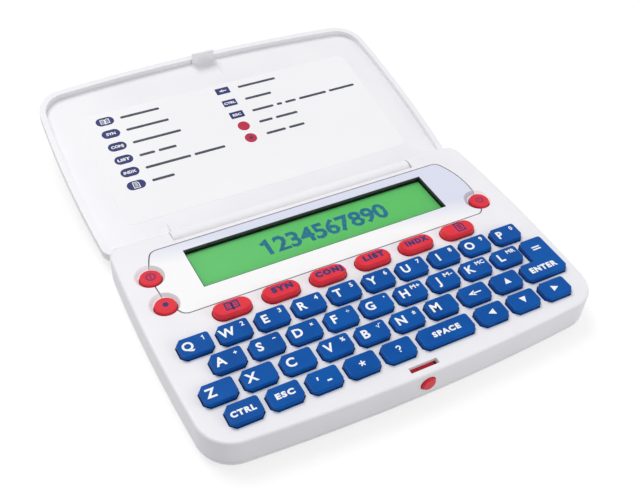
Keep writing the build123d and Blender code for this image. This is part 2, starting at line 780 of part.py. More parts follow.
with BuildPart() as screws:
    with BuildSketch(Plane.XY.offset(screw_sink)):
        with Locations(*boss_places):
            Circle(screw_head_radius)
    extrude(amount=screw_head_height)
    with BuildSketch(Plane.XY.offset(screw_sink)):
        with Locations(*boss_places):
            Circle(screw_radius)
    extrude(amount=screw_head_height + screw_length)
    with BuildSketch(Plane.XY):
        with Locations((0, cover_screw_y)):
            Circle(screw_head_radius)
    extrude(amount=cover_screw_head)
    with BuildSketch(Plane.XY):
        with Locations((0, cover_screw_y)):
            Circle(screw_radius)
    extrude(amount=cover_screw_head + cover_screw_length)
    with BuildSketch(Plane.XY.offset(screw_sink)):
        with Locations(*boss_places):
            Rectangle(cross_length, cross_width)
            Rectangle(cross_width, cross_length)
    extrude(amount=cross_depth, mode=Mode.SUBTRACT)
    with BuildSketch(Plane.XY):
        with Locations((0, cover_screw_y)):
            Rectangle(cross_length, cross_width)
    extrude(amount=cover_screw_head / 2, mode=Mode.SUBTRACT)
save(screws, "screws")

# Lid: a shallow tray on a barrel, with its pins and the latch's hook
with BuildPart() as lid:
    with BuildSketch(lid_frame.offset(lid_back_level)):
        add(lid_plan(0))
    extrude(amount=lid_plate + lid_rim_height)
    outer_face = lid.faces().sort_by(Axis((0, 0, 0), lid_frame.z_dir))[0]
    fillet(outer_face.edges(), lid_edge)
    with BuildSketch(lid_frame.offset(tray_level)):
        add(lid_plan(lid_rim_width))
        Rectangle(hinge_pad_width, 2 * hinge_pad_reach, mode=Mode.SUBTRACT)
    extrude(amount=lid_rim_height, mode=Mode.SUBTRACT)
    # Barrel and heel
    with BuildSketch(across_lid(-knuckle_width / 2)):
        Circle(knuckle_radius)
        Rectangle(knuckle_radius, -rim_level, align=(Align.MAX, Align.MAX))
        Rectangle(web_reach, -rim_level, align=(Align.MIN, Align.MAX))
        with BuildLine():
            Polyline(
                (-knuckle_radius, rim_level),
                (-knuckle_radius, lid_back_level),
                (lid_near + lid_rim_width, lid_back_level),
                (lid_near + lid_rim_width, rim_level),
                close=True,
            )
        make_face()
    extrude(amount=knuckle_width)
    heel_edges = lid.edges().filter_by(Axis.X).group_by(Axis((0, 0, 0), heel_direction))[-1]
    fillet(heel_edges, heel_radius)
    for side in (-1, 1):
        with BuildSketch(across_lid(side * knuckle_width / 2)):
            Circle(pin_radius)
        extrude(amount=side * (hinge_gap + pin_length))
    # Hook, its barb towards the hinge, and the shallow relief in front of it
    hook_outer = hinge_y - hook_front_y
    hook_inner = hook_outer - hook_thickness
    hook_tip = hinge_z - hook_tip_z
    with BuildSketch(across_lid(-hook_width / 2)):
        with BuildLine():
            Polyline(
                (hook_outer, tray_level),
                (hook_outer, hook_tip - hook_bevel),
                (hook_outer - hook_bevel, hook_tip),
                (hook_inner, hook_tip),
                (hook_inner - barb, hook_tip - barb),
                (hook_inner - barb, hook_tip - barb_height),
                (hook_inner, hook_tip - barb_height),
                (hook_inner, tray_level),
                close=True,
            )
        make_face()
    extrude(amount=hook_width)
    with BuildSketch(lid_frame.offset(tray_level - relief_depth)):
        with Locations((0, hook_inner - relief_gap)):
            Rectangle(relief_width, relief_reach, align=(Align.CENTER, Align.MAX))
    extrude(amount=relief_depth, mode=Mode.SUBTRACT)
save(lid, "lid")

# Release button: its head shows in the front wall, its catch holds the hook's barb
with BuildPart() as release_button:
    head_back_y = hook_front_y - flange_gap - release_travel
    with BuildSketch(across_y(front_y - release_proud)):
        Circle(release_radius)
    extrude(amount=head_back_y - front_y + release_proud)
    chamfer(release_button.faces().sort_by(Axis.Y)[0].edges(), release_edge)
    with BuildSketch(across(-slider_rib / 2)):
        with Locations((slider_back_y, rib_bottom)):
            Rectangle(
                slider_back_y - head_back_y + release_edge,
                slider_top - rib_bottom,
                align=(Align.MAX, Align.MIN),
            )
    extrude(amount=slider_rib)
    with BuildSketch(Plane.XY.offset(slider_top - slider_thickness)):
        with Locations((0, slider_front_y)):
            Rectangle(slider_width, slider_back_y - slider_front_y, align=(Align.CENTER, Align.MIN))
    extrude(amount=slider_thickness)
    with BuildSketch(across(-catch_width / 2)):
        with BuildLine():
            Polyline(
                (catch_back_y, slider_top - slider_thickness / 2),
                (catch_back_y, catch_top),
                (catch_front_y + catch_ramp, catch_top),
                (catch_front_y, catch_top - catch_ramp),
                (catch_front_y, catch_under),
                (catch_back_y - catch_post, catch_under),
                (catch_back_y - catch_post, slider_top - slider_thickness / 2),
                close=True,
            )
        make_face()
    extrude(amount=catch_width)
save(release_button, "release_button")

# Leaf spring: its middle bears on the release button, its ends on the lower housing
with BuildPart() as release_spring:
    with BuildSketch(Plane.XY.offset(spring_bottom)):
        with BuildLine():
            ThreePointArc(
                (-spring_half, spring_rest_y - spring_thickness),
                (0, slider_back_y),
                (spring_half, spring_rest_y - spring_thickness),
            )
            Line((spring_half, spring_rest_y - spring_thickness), (spring_half, spring_rest_y))
            ThreePointArc(
                (spring_half, spring_rest_y),
                (0, slider_back_y + spring_thickness),
                (-spring_half, spring_rest_y),
            )
            Line((-spring_half, spring_rest_y), (-spring_half, spring_rest_y - spring_thickness))
        make_face()
    extrude(amount=spring_height)
save(release_spring, "release_spring")
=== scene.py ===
import json
import math

import bpy
import numpy as np
from mathutils import Matrix, Vector


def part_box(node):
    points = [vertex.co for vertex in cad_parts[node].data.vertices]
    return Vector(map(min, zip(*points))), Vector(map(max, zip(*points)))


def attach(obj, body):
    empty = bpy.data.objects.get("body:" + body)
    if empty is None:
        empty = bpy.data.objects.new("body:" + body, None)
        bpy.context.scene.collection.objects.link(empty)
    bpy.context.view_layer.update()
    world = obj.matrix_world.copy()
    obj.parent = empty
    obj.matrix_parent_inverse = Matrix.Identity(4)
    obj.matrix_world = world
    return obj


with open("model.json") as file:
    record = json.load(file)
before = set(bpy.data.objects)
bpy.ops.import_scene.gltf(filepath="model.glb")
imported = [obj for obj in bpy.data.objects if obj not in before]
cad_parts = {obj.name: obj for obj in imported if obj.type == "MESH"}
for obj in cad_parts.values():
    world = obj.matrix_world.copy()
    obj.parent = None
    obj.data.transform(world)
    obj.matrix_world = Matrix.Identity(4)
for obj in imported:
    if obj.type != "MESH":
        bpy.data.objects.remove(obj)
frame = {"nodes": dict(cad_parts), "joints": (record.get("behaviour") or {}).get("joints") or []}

# Handheld electronic dictionary: the finish of its moulded pieces, the caps of its blue keys, and
# everything printed on them. A print is worked out flat in millimetres, given the thickness of its
# ink, and placed in metres.

millimetre = 0.001
bpy.context.view_layer.update()
hinge = next(joint for joint in frame["joints"] if joint["name"] == "lid_hinge")


# Flat shapes. Each is a pair of points and triangles, anticlockwise seen from above.

def plate(outline):
    # Fills an outline that its middle can see all of: a triangle from the middle to each side of it.
    count = len(outline)
    ring = np.arange(count)
    triangles = np.column_stack([np.full(count, count), ring, np.roll(ring, -1)])
    return np.vstack([outline, outline.mean(axis=0)]), triangles


def band(path, width, closed=False):
    # A stroke: the path moved to both sides. At a corner the sides are mitred: each point goes half the
    # width over the cosine of half the turn there, square to the mean of the two directions.
    path = np.asarray(path, float)
    ahead = np.roll(path, -1, axis=0) - path
    behind = np.roll(ahead, 1, axis=0)
    if not closed:
        ahead[-1] = behind[-1]
        behind[0] = ahead[0]
    ahead /= np.linalg.norm(ahead, axis=1, keepdims=True)
    behind /= np.linalg.norm(behind, axis=1, keepdims=True)
    along = ahead + behind
    along /= np.linalg.norm(along, axis=1, keepdims=True)
    reach = width / 2 / (along * ahead).sum(axis=1, keepdims=True)
    side = np.column_stack([-along[:, 1], along[:, 0]]) * reach
    count = len(path)
    here = np.arange(count if closed else count - 1)
    there = (here + 1) % count
    first = np.column_stack([here, here + count, there + count])
    second = np.column_stack([here, there + count, there])
    return np.vstack([path + side, path - side]), np.vstack([first, second])


def circlePath(radius, start=0, end=360, steps=32):
    # Points at equal angles about the middle, without the last one where the circle closes.
    angle = np.radians(np.linspace(start, end, steps, endpoint=end - start < 360))
    return radius * np.column_stack([np.cos(angle), np.sin(angle)])


def roundedPath(width, depth, radius, steps=6):
    # Four quarter circles, one about each corner's own centre, joined by straight sides.
    angle = np.radians(np.arange(4)[:, None] * 90 + np.linspace(0, 90, steps + 1))
    corner = np.array([[1, 1], [-1, 1], [-1, -1], [1, -1]]) * [width / 2 - radius, depth / 2 - radius]
    arcs = corner[:, None] + radius * np.stack([np.cos(angle), np.sin(angle)], axis=2)
    return arcs.reshape(-1, 2)


def moved(shape, x=0, y=0, scale=1):
    # The shape scaled about the origin, then shifted.
    points, triangles = shape
    return points * scale + [x, y], triangles


def together(shapes):
    # Several flat shapes as one: each one's triangles count on from the points before it.
    starts = np.cumsum([0] + [len(points) for points, _ in shapes[:-1]])
    points = np.vstack([points for points, _ in shapes])
    return points, np.vstack([triangles + start for start, (_, triangles) in zip(starts, shapes)])


fontCapital = 0.682          # height of a capital in Blender's built-in font, at size 1
smallestArea = 1e-9          # of a triangle in it worth keeping


def lettering(text, height, width=None, weight=0.03, spacing=1.0):
    # The built-in font, thickened by weight on every side, as a flat mesh about the middle of its
    # capitals, scaled by the height over that of a thickened capital. A width stretches or squeezes
    # the whole text. Slivers without area are left out, and all triangles turned to face up.
    curve = bpy.data.curves.new("lettering", "FONT")
    curve.body = text
    curve.offset = weight
    curve.space_character = spacing
    curve.resolution_u = 3
    letters = bpy.data.objects.new("lettering", curve)
    mesh = bpy.data.meshes.new_from_object(letters)
    mesh.calc_loop_triangles()
    points = np.zeros((len(mesh.vertices), 3), np.float32)
    mesh.vertices.foreach_get("co", points.ravel())
    triangles = np.zeros((len(mesh.loop_triangles), 3), np.int32)
    mesh.loop_triangles.foreach_get("vertices", triangles.ravel())
    bpy.data.objects.remove(letters)
    bpy.data.curves.remove(curve)
    bpy.data.meshes.remove(mesh)
    points = points[:, :2].astype(float)
    corners = points[triangles]
    first = corners[:, 1] - corners[:, 0]
    second = corners[:, 2] - corners[:, 0]
    turn = first[:, 0] * second[:, 1] - first[:, 1] * second[:, 0]
    triangles[turn < 0] = triangles[turn < 0][:, ::-1]
    triangles = triangles[np.abs(turn) > smallestArea]
    scale = height / (fontCapital + 2 * weight)
    left, right = points[:, 0].min(), points[:, 0].max()
    across = scale if width is None else width / (right - left)
    middle = [(left + right) / 2, fontCapital / 2]
    return (points - middle) * [across, scale], triangles


def solid(shape, low, high):
    # Gives a flat shape a thickness: the shape at height high, the same turned over at height low,
    # and a wall under each edge that only one of its triangles has.
    points, triangles = shape
    count = len(points)
    edges = triangles[:, [0, 1, 1, 2, 2, 0]].reshape(-1, 2).astype(np.int64)
    number = np.sort(edges, axis=1) @ np.array([count, 1])
    _, first, uses = np.unique(number, return_index=True, return_counts=True)
    a, b = edges[first[uses == 1]].T
    walls = np.vstack([np.column_stack([a + count, b + count, b]), np.column_stack([a + count, b, a])])
    levels = np.repeat([high, low], count)[:, None]
    return (
        np.hstack([np.vstack([points, points]), levels]),
        np.vstack([triangles, triangles[:, ::-1] + count, walls]),
    )


def makePiece(name, body, points, faces, material, smoothBelow=None):
    # A finished object on its body. Edges that turn by fewer degrees than smoothBelow look smooth.
    mesh = bpy.data.meshes.new(name)
    mesh.from_pydata(points.tolist(), [], faces)
    mesh.materials.append(material)
    if smoothBelow:
        mesh.shade_smooth()
        mesh.set_sharp_from_angle(angle=math.radians(smoothBelow))
    piece = bpy.data.objects.new(name, mesh)
    bpy.context.scene.collection.objects.link(piece)
    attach(piece, body)
    return piece


def printOn(name, body, shape, place, ink, film=(-0.01, 0.02)):
    # A print: film is how far its ink reaches into and stands out of what it is on, in millimetres.
    points, faces = solid(shape, *film)
    return makePiece(name, body, place(points), faces.tolist(), ink)


def onTopOf(node):
    # Millimetres from the middle of a node's top face, to metres.
    low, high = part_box(node)
    origin = np.array([(low.x + high.x) / 2, (low.y + high.y) / 2, high.z])
    return lambda points: points * millimetre + origin


def onLid(level):
    # x along the hinge, y from its axis to the lid's far edge, z out of the open lid's inner face. The
    # plane leans back: back is y times the lean's cosine less z times its sine, and up is y times its
    # sine plus z times its cosine.
    lean = math.radians(180 - hinge["range_deg"][1])
    axisY, axisZ = hinge["pos_m"][1:]

    def place(points):
        x, reach, height = (points + [0, 0, level]).T * millimetre
        back = axisY + reach * math.cos(lean) - height * math.sin(lean)
        return np.column_stack([x, back, axisZ + reach * math.sin(lean) + height * math.cos(lean)])

    return place


# Materials.

def toLinear(hexColour):
    # sRGB hex to the linear light that shaders take: a straight line near black, a power of 2.4 above.
    value = np.array([int(hexColour[i:i + 2], 16) for i in (1, 3, 5)]) / 255
    linear = np.where(value <= 0.04045, value / 12.92, ((value + 0.055) / 1.055) ** 2.4)
    return (*linear.tolist(), 1.0)


def addNode(tree, kind, inputs=None, **settings):
    # A node with its settings; an input takes a value, or a link where it is given a node's socket.
    node = tree.nodes.new("ShaderNode" + kind)
    for name, value in settings.items():
        setattr(node, name, value)
    for name, value in (inputs or {}).items():
        if isinstance(value, bpy.types.NodeSocket):
            tree.links.new(value, node.inputs[name])
        else:
            node.inputs[name].default_value = value
    return node


def startMaterial(name):
    # An empty node tree to build a material in.
    material = bpy.data.materials.new(name)
    material.use_nodes = True
    material.node_tree.nodes.clear()
    return material, material.node_tree


def finishMaterial(material, tree, shader):
    # Joins the shader to the output.
    addNode(tree, "OutputMaterial", {"Surface": shader})
    print("material:", material.name)
    return material


noiseLow, noiseHigh = 0.3, 0.7          # most of a noise texture's values lie between these


def tones(tree, factor, look):
    # Two tones of one colour: dark where the factor is low, light where it is high.
    ramp = addNode(tree, "ValToRGB", {"Fac": factor})
    ramp.color_ramp.elements[0].position = noiseLow
    ramp.color_ramp.elements[1].position = noiseHigh
    ramp.color_ramp.elements[0].color = toLinear(look["darkTone"])
    ramp.color_ramp.elements[1].color = toLinear(look["lightTone"])
    return ramp.outputs["Color"]


def surface(tree, look):
    # What all surfaces share: a slow drift of tone, and a grain that lifts the surface a little and
    # takes its roughness up or down by as much as roughnessSpread.
    place = addNode(tree, "TexCoord").outputs["Object"]
    grain = addNode(tree, "TexNoise", {
        "Vector": place, "Scale": 1 / (look["grainWidth"] * millimetre), "Detail": 3.0, "Roughness": 0.6,
    }).outputs["Fac"]
    drift = addNode(tree, "TexNoise", {
        "Vector": place, "Scale": 1 / (look["driftWidth"] * millimetre), "Detail": 2.0,
    }).outputs["Fac"]
    roughness = addNode(tree, "MapRange", {
        "Value": grain, "From Min": noiseLow, "From Max": noiseHigh,
        "To Min": look["roughness"] - look["roughnessSpread"],
        "To Max": look["roughness"] + look["roughnessSpread"],
    }).outputs["Result"]
    bump = addNode(tree, "Bump", {
        "Height": grain, "Distance": look["grainHeight"] * millimetre, "Strength": 1.0,
    }).outputs["Normal"]
    return {"place": place, "grain": grain, "drift": drift, "roughness": roughness, "bump": bump}


def mouldedPlastic(name, look):
    # An opaque plastic, rubber, laminate or ink: two tones that drift, under a fine grain.
    material, tree = startMaterial(name)
    made = surface(tree, look)
    shader = addNode(tree, "BsdfPrincipled", {
        "Base Color": tones(tree, made["drift"], look),
        "Roughness": made["roughness"], "Normal": made["bump"],
        "IOR": look["ior"], "Specular IOR Level": look.get("gloss", 0.5),
        "Coat Weight": look.get("coat", 0.0), "Coat Roughness": look.get("coatRoughness", 0.0),
    })
    return finishMaterial(material, tree, shader.outputs["BSDF"])


def housingAbs():
    # White ABS, moulded in a spark-eroded tool: an even satin sheen with no mirror reflections.
    # The real grain is about 0.05 mm and is drawn 0.3 mm wide, so that it shows.
    return mouldedPlastic("spark_textured_abs", {
        "darkTone": "#EFEEF3", "lightTone": "#F4F3F7",
        "driftWidth": 18, "grainWidth": 0.3, "grainHeight": 0.006,
        "roughness": 0.42, "roughnessSpread": 0.05, "ior": 1.53,
    })


def lidAbs():
    # White ABS from a polished tool: smoother than the housing, so it shows broad soft reflections,
    # with the faint waviness of a thin moulded wall.
    return mouldedPlastic("polished_abs", {
        "darkTone": "#F1F1F5", "lightTone": "#F6F6F9",
        "driftWidth": 26, "grainWidth": 6.0, "grainHeight": 0.006,
        "roughness": 0.36, "roughnessSpread": 0.03, "ior": 1.53,
    })


def blueAbs():
    # Deep blue ABS keys, moulded and left glossy: saturated tops, a soft light along the bevels, and
    # fine orange peel from the tool, about 0.8 mm across.
    return mouldedPlastic("glossy_blue_abs", {
        "darkTone": "#004D9E", "lightTone": "#0057AB",
        "driftWidth": 9, "grainWidth": 0.8, "grainHeight": 0.008,
        "roughness": 0.3, "roughnessSpread": 0.04, "ior": 1.53, "gloss": 0.1,
    })


def redAbs():
    # Signal red ABS, moulded and left glossy, a little translucent, so its shaded sides stay warm.
    return mouldedPlastic("glossy_red_abs", {
        "darkTone": "#DF2B3A", "lightTone": "#EA3644",
        "driftWidth": 7, "grainWidth": 0.8, "grainHeight": 0.008,
        "roughness": 0.32, "roughnessSpread": 0.05, "ior": 1.53, "gloss": 0.17,
    })


def pearlLacquer():
    # ABS sprayed with pearl lacquer, its mica flakes about 0.1 mm wide, drawn 0.25 mm, giving a slight
    # sparkle.
    # A painted reflection lies in its colour: bright white towards the user, a cool lilac grey towards
    # the far corner. Its steep edges and walls are painted grey as painted shade, which shows as a fine
    # line.
    look = {
        "darkTone": "#DDE0F2", "lightTone": "#FDFDFE", "slopeShadeTone": "#8A8C94",
        "driftWidth": 30, "grainWidth": 0.25, "grainHeight": 0.003,
        "roughness": 0.3, "roughnessSpread": 0.08, "ior": 1.5, "coat": 0.5, "coatRoughness": 0.12,
        "darkTowards": (0.22, 0.97, 0), "lightEnd": -0.7, "darkEnd": 0.75,     # in half lengths
        "fullShadeSlope": 0.72, "noShadeSlope": 0.97,     # the normal's heights where the painted shade is full and where it ends
    }
    material, tree = startMaterial("pearl_lacquered_abs")
    made = surface(tree, look)
    low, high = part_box("display_bezel")
    direction = Vector(look["darkTowards"]).normalized()
    along = addNode(tree, "VectorMath", {0: made["place"], 1: direction}, operation="DOT_PRODUCT")
    middle = direction.dot((low + high) / 2)
    reach = direction.dot(high - low) / 2
    # Painted reflection: the colour runs from the light tone near the user to the lilac grey at the far
    # corner.
    shift = addNode(tree, "MapRange", {
        "Value": along.outputs["Value"], "To Min": 1.0, "To Max": 0.0,
        "From Min": middle + look["lightEnd"] * reach, "From Max": middle + look["darkEnd"] * reach,
    }, interpolation_type="SMOOTHSTEP").outputs["Result"]
    normal = addNode(tree, "NewGeometry").outputs["True Normal"]
    facing = addNode(tree, "SeparateXYZ", {"Vector": normal})
    # Painted shade on steep walls: below a normal height of 0.97 the colour turns towards a grey, fully
    # so at 0.72.
    unshaded = addNode(tree, "MapRange", {
        "Value": facing.outputs["Z"], "From Min": look["fullShadeSlope"], "From Max": look["noShadeSlope"],
    }).outputs["Result"]
    colour = addNode(tree, "MixRGB", {
        "Fac": unshaded, "Color1": toLinear(look["slopeShadeTone"]), "Color2": tones(tree, shift, look),
    }).outputs["Color"]
    shader = addNode(tree, "BsdfPrincipled", {
        "Base Color": colour, "Roughness": made["roughness"], "Normal": made["bump"],
        "IOR": look["ior"], "Coat Weight": look["coat"], "Coat Roughness": look["coatRoughness"],
    })
    return finishMaterial(material, tree, shader.outputs["BSDF"])


def clearAcrylic():
    # Clear cast acrylic: the display shows through it, under a thin veil of reflected light.
    look = {
        "darkTone": "#4A5A50", "lightTone": "#5A6A60",
        "driftWidth": 40, "grainWidth": 9, "grainHeight": 0.004,
        "roughness": 0.1, "roughnessSpread": 0.02, "ior": 1.49, "veil": 0.06,
    }
    material, tree = startMaterial("clear_acrylic")
    made = surface(tree, look)
    shader = addNode(tree, "BsdfPrincipled", {
        "Base Color": tones(tree, made["drift"], look),
        "Roughness": made["roughness"], "Normal": made["bump"],
        "IOR": look["ior"], "Alpha": look["veil"],
    })
    return finishMaterial(material, tree, shader.outputs["BSDF"])


def displayGlass():
    # Reflective liquid crystal display: a green polariser behind glass, with a painted pool of light
    # that makes it lighter at its left, where it catches the lamp, and a faint net of unlit pixels 0.6
    # mm apart.
    # The net lies where the distance to the nearest multiple of the pitch, the ping-pong of x or y, is
    # small.
    look = {
        "darkTone": "#66D56F", "lightTone": "#6FDA7B",
        "driftWidth": 60, "grainWidth": 0.5, "grainHeight": 0.001,
        "roughness": 0.35, "roughnessSpread": 0.04, "ior": 1.5, "gloss": 0.2,
        "paintedLightEnd": 0.2, "nearPaintedLight": 0.75, "farPaintedLight": 0.3,
        "pixelPitch": 0.6, "netTone": "#2F6F3C", "netLine": 0.1, "netStrength": 0.08,
    }
    material, tree = startMaterial("green_polariser_glass")
    made = surface(tree, look)
    low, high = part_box("lcd_panel")
    across = addNode(tree, "SeparateXYZ", {"Vector": made["place"]})
    # Painted light: lighter at the left end of the panel, fading towards the right.
    paintedLight = addNode(tree, "MapRange", {
        "Value": across.outputs["X"], "From Min": low.x, "From Max": high.x * look["paintedLightEnd"],
        "To Min": look["nearPaintedLight"], "To Max": look["farPaintedLight"],
    }, interpolation_type="SMOOTHSTEP").outputs["Result"]
    base = tones(tree, paintedLight, look)
    pitch = look["pixelPitch"] * millimetre
    net = [addNode(tree, "Math", {0: across.outputs[axis], 1: pitch}, operation="PINGPONG").outputs[0]
           for axis in "XY"]
    nearest = addNode(tree, "Math", {0: net[0], 1: net[1]}, operation="MINIMUM").outputs[0]
    line = addNode(tree, "MapRange", {
        "Value": nearest, "From Min": 0.0, "From Max": look["netLine"] * millimetre,
        "To Min": look["netStrength"], "To Max": 0.0,
    }).outputs["Result"]
    dark = toLinear(look["netTone"])
    colour = addNode(tree, "MixRGB", {"Fac": line, "Color1": base, "Color2": dark}).outputs["Color"]
    shader = addNode(tree, "BsdfPrincipled", {
        "Base Color": colour, "Roughness": made["roughness"], "Normal": made["bump"],
        "IOR": look["ior"], "Specular IOR Level": look["gloss"],
    })
    return finishMaterial(material, tree, shader.outputs["BSDF"])


def siliconeMat():
    # Grey conductive silicone rubber, moulded: soft, matt, with a slight bloom.
    return mouldedPlastic("silicone_rubber", {
        "darkTone": "#8B8D90", "lightTone": "#9B9DA0",
        "driftWidth": 8, "grainWidth": 0.4, "grainHeight": 0.01,
        "roughness": 0.7, "roughnessSpread": 0.06, "ior": 1.41,
    })


def boardLaminate():
    # Glass-epoxy board under green solder mask: glossy mask over the weave, about 0.5 mm a thread.
    return mouldedPlastic("solder_masked_laminate", {
        "darkTone": "#0F4A2C", "lightTone": "#176039",
        "driftWidth": 5, "grainWidth": 0.5, "grainHeight": 0.01,
        "roughness": 0.3, "roughnessSpread": 0.08, "ior": 1.5, "coat": 0.4, "coatRoughness": 0.1,
    })


def metal(name, look):
    # A metal: no colour of its own below its reflection, which fine marks from its making spread out.
    material, tree = startMaterial(name)
    made = surface(tree, look)
    shader = addNode(tree, "BsdfPrincipled", {
        "Base Color": tones(tree, made["drift"], look),
        "Roughness": made["roughness"], "Normal": made["bump"],
        "Metallic": 1.0,
    })
    return finishMaterial(material, tree, shader.outputs["BSDF"])


def nickelCell():
    # Nickel-plated steel can of a coin cell: bright, faintly warm, with fine deep-drawing marks.
    return metal("nickel_plated_steel", {
        "darkTone": "#B9B6AE", "lightTone": "#CFCCC4",
        "driftWidth": 4, "grainWidth": 0.25, "grainHeight": 0.003,
        "roughness": 0.28, "roughnessSpread": 0.06,
    })


def zincScrew():
    # Zinc-plated steel screws: a cool grey with a mottled, slightly blue passivation.
    return metal("zinc_plated_steel", {
        "darkTone": "#9DA1A8", "lightTone": "#BEC2C9",
        "driftWidth": 1.2, "grainWidth": 0.3, "grainHeight": 0.005,
        "roughness": 0.36, "roughnessSpread": 0.08,
    })


def springSteel():
    # Rolled spring steel strip, oil-hardened: dark, straw-tinted, with lengthwise rolling marks.
    return metal("spring_steel", {
        "darkTone": "#7E7B76", "lightTone": "#99958D",
        "driftWidth": 2, "grainWidth": 0.2, "grainHeight": 0.003,
        "roughness": 0.33, "roughnessSpread": 0.06,
    })


def printInk(name, darkTone, lightTone, roughness=0.5, driftWidth=3):
    # Pad-printed or screen-printed ink: opaque and flat, a little matter than what it is printed on,
    # with the small unevenness of the film, about 0.3 mm across.
    return mouldedPlastic(name, {
        "darkTone": darkTone, "lightTone": lightTone,
        "driftWidth": driftWidth, "grainWidth": 0.3, "grainHeight": 0.003,
        "roughness": roughness, "roughnessSpread": 0.05, "ior": 1.48, "gloss": 0.3,
    })


whiteInk = printInk("white_pad_print", "#F4F6F8", "#FFFFFF")
navyInk = printInk("navy_pad_print", "#2A2162", "#342A70")
labelNavy = printInk("navy_screen_print", "#232A66", "#2C3472")
labelRed = printInk("red_screen_print", "#B81F3E", "#C02747")
labelGrey = printInk("grey_screen_print", "#3E4050", "#4A4C5C")
labelVinyl = printInk("white_vinyl_label", "#F7F7FA", "#FAFAFC", roughness=0.38, driftWidth=40)
maskInk = printInk("black_mask_print", "#16201C", "#1E2A25", roughness=0.4)
crystalInk = printInk("dark_liquid_crystal", "#00698F", "#007898", roughness=0.35)
# Painted shade: a dark grey for the strip that lines the window's walls, where shade falls.
paintedShadeStrip = printInk("painted_shade_strip", "#34403C", "#414D48", roughness=0.7)

finishes = {
    "housing": housingAbs(), "lid": lidAbs(), "bezel": pearlLacquer(), "window": clearAcrylic(),
    "lcd": displayGlass(), "board": boardLaminate(), "mat": siliconeMat(), "cell": nickelCell(),
    "screw": zincScrew(), "spring": springSteel(), "blue_key": blueAbs(), "red_key": redAbs(),
}
for name, node in frame["nodes"].items():
    slot = node.data.materials[0].name.split(".")[0]
    node.material_slots[0].link = "OBJECT"
    node.material_slots[0].material = finishes[slot]
print("finishes on the CAD nodes:", len(frame["nodes"]))


# Caps of the blue keys: moulded tops with two cut corners and two rounded ones.

keyCap = {
    "depth": 6.8,
    "deckBelow": 1.6,             # the deck, below the key's top
    "skirt": 0.9,                 # the cap starts this far above the deck, clear of it when pressed
    "grow": 0.03, "rise": 0.02,   # how far the cap stands out of the key, to the sides and above
    "edge": 0.38, "edgeSteps": 6, "flat": 0.03,
    "backCut": (1.45, 1.7), "frontCut": (1.35, 1.65),     # far left and near right corner
    "backRound": 0.95, "frontRound": 1.25,                # radii of the far right and near left one
    "soften": 0.45, "inside": 0.15,                       # of the cuts' ends and the L's inner corner
    "flange": 0.55,               # the enter key's hidden flange, near and far
    "enterNeck": 8.8,
}


def roundedCorners(corners, radii, steps=5):
    # Each corner gives way to an arc that touches both its sides: the arc's ends lie radius / tan(half
    # the corner's angle) from it, and its middle radius / sin(half) along the bisector. The outward
    # normals go with the points.
    corners = np.asarray(corners, float)
    radii = np.asarray(radii, float)[:, None]
    ahead = np.roll(corners, -1, axis=0) - corners
    behind = np.roll(corners, 1, axis=0) - corners
    ahead /= np.linalg.norm(ahead, axis=1, keepdims=True)
    behind /= np.linalg.norm(behind, axis=1, keepdims=True)
    halfAngle = np.arccos((ahead * behind).sum(axis=1, keepdims=True)) / 2
    bisector = (ahead + behind) / np.linalg.norm(ahead + behind, axis=1, keepdims=True)
    centre = corners + bisector * radii / np.sin(halfAngle)
    start = corners + behind * radii / np.tan(halfAngle) - centre
    end = corners + ahead * radii / np.tan(halfAngle) - centre
    first = np.arctan2(start[:, 1], start[:, 0])
    turn = (np.arctan2(end[:, 1], end[:, 0]) - first + math.pi) % (2 * math.pi) - math.pi
    angle = first[:, None] + turn[:, None] * np.linspace(0, 1, steps)
    spoke = np.stack([np.cos(angle), np.sin(angle)], axis=2)
    points = centre[:, None] + radii[:, None] * spoke
    outward = spoke * np.sign(turn)[:, None, None]
    return points.reshape(-1, 2), outward.reshape(-1, 2)


def closedSkin(rings, low, high):
    # Rings of points one above another, joined by four-sided faces and closed by a fan at each end.
    count = rings.shape[1]
    points = np.vstack([rings.reshape(-1, 3), low, high])
    around = np.arange(count)
    after = (around + 1) % count
    level = np.arange(len(rings) - 1)[:, None] * count
    above = level + count
    sides = np.stack([level + around, level + after, above + after, above + around], axis=2)
    bottom = np.column_stack([after, around, np.full(count, len(points) - 2)])
    last = count * (len(rings) - 1)
    top = np.column_stack([last + around, last + after, np.full(count, len(points) - 1)])
    return points, [*sides.reshape(-1, 4).tolist(), *bottom.tolist(), *top.tolist()]


def capSurface(corners, radii, middle):
    # The outline carried up a profile: an upright skirt, a quarter round whose inset is the edge's
    # radius times one less the cosine and whose drop is the radius times one less the sine, a flat top.
    look = keyCap
    outline, outward = roundedCorners(corners, radii)
    turn = np.linspace(0, math.pi / 2, look["edgeSteps"])
    inset = np.concatenate([[0], look["edge"] * (1 - np.cos(turn)), [look["edge"] + look["flat"]]])
    inset -= look["grow"]
    bottom, top = look["skirt"] - look["deckBelow"], look["rise"]
    height = np.concatenate([[bottom], top - look["edge"] * (1 - np.sin(turn)), [top]])
    rings = np.empty((len(inset), len(outline), 3))
    rings[:, :, :2] = outline - outward * inset[:, None, None]
    rings[:, :, 2] = height[:, None]
    return closedSkin(rings, [*middle, bottom], [*middle, top])


def blockCorners(width):
    # Anticlockwise from the near left: rounded, cut, rounded, cut.
    look = keyCap
    x, y = width / 2, look["depth"] / 2
    cutX, cutY = look["frontCut"]
    backX, backY = look["backCut"]
    corners = [(-x, -y), (x - cutX, -y), (x, -y + cutY), (x, y), (-x + backX, y), (-x, y - backY)]
    soften = look["soften"]
    return corners, [look["frontRound"], soften, soften, look["backRound"], soften, soften]


def makeCap(node, points, faces):
    # A cap on a key: its rounded edges and corners look smooth, and only its lower rim is sharp.
    points = onTopOf(node)(points)
    makePiece(node + "_cap", node, points, faces, finishes["blue_key"], smoothBelow=40)


for name, node in frame["nodes"].items():
    if node.material_slots[0].material != finishes["blue_key"] or name == "key_enter":
        continue
    low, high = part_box(name)
    points, faces = capSurface(*blockCorners((high.x - low.x) / millimetre), (0, 0))
    makeCap(name, points, faces)


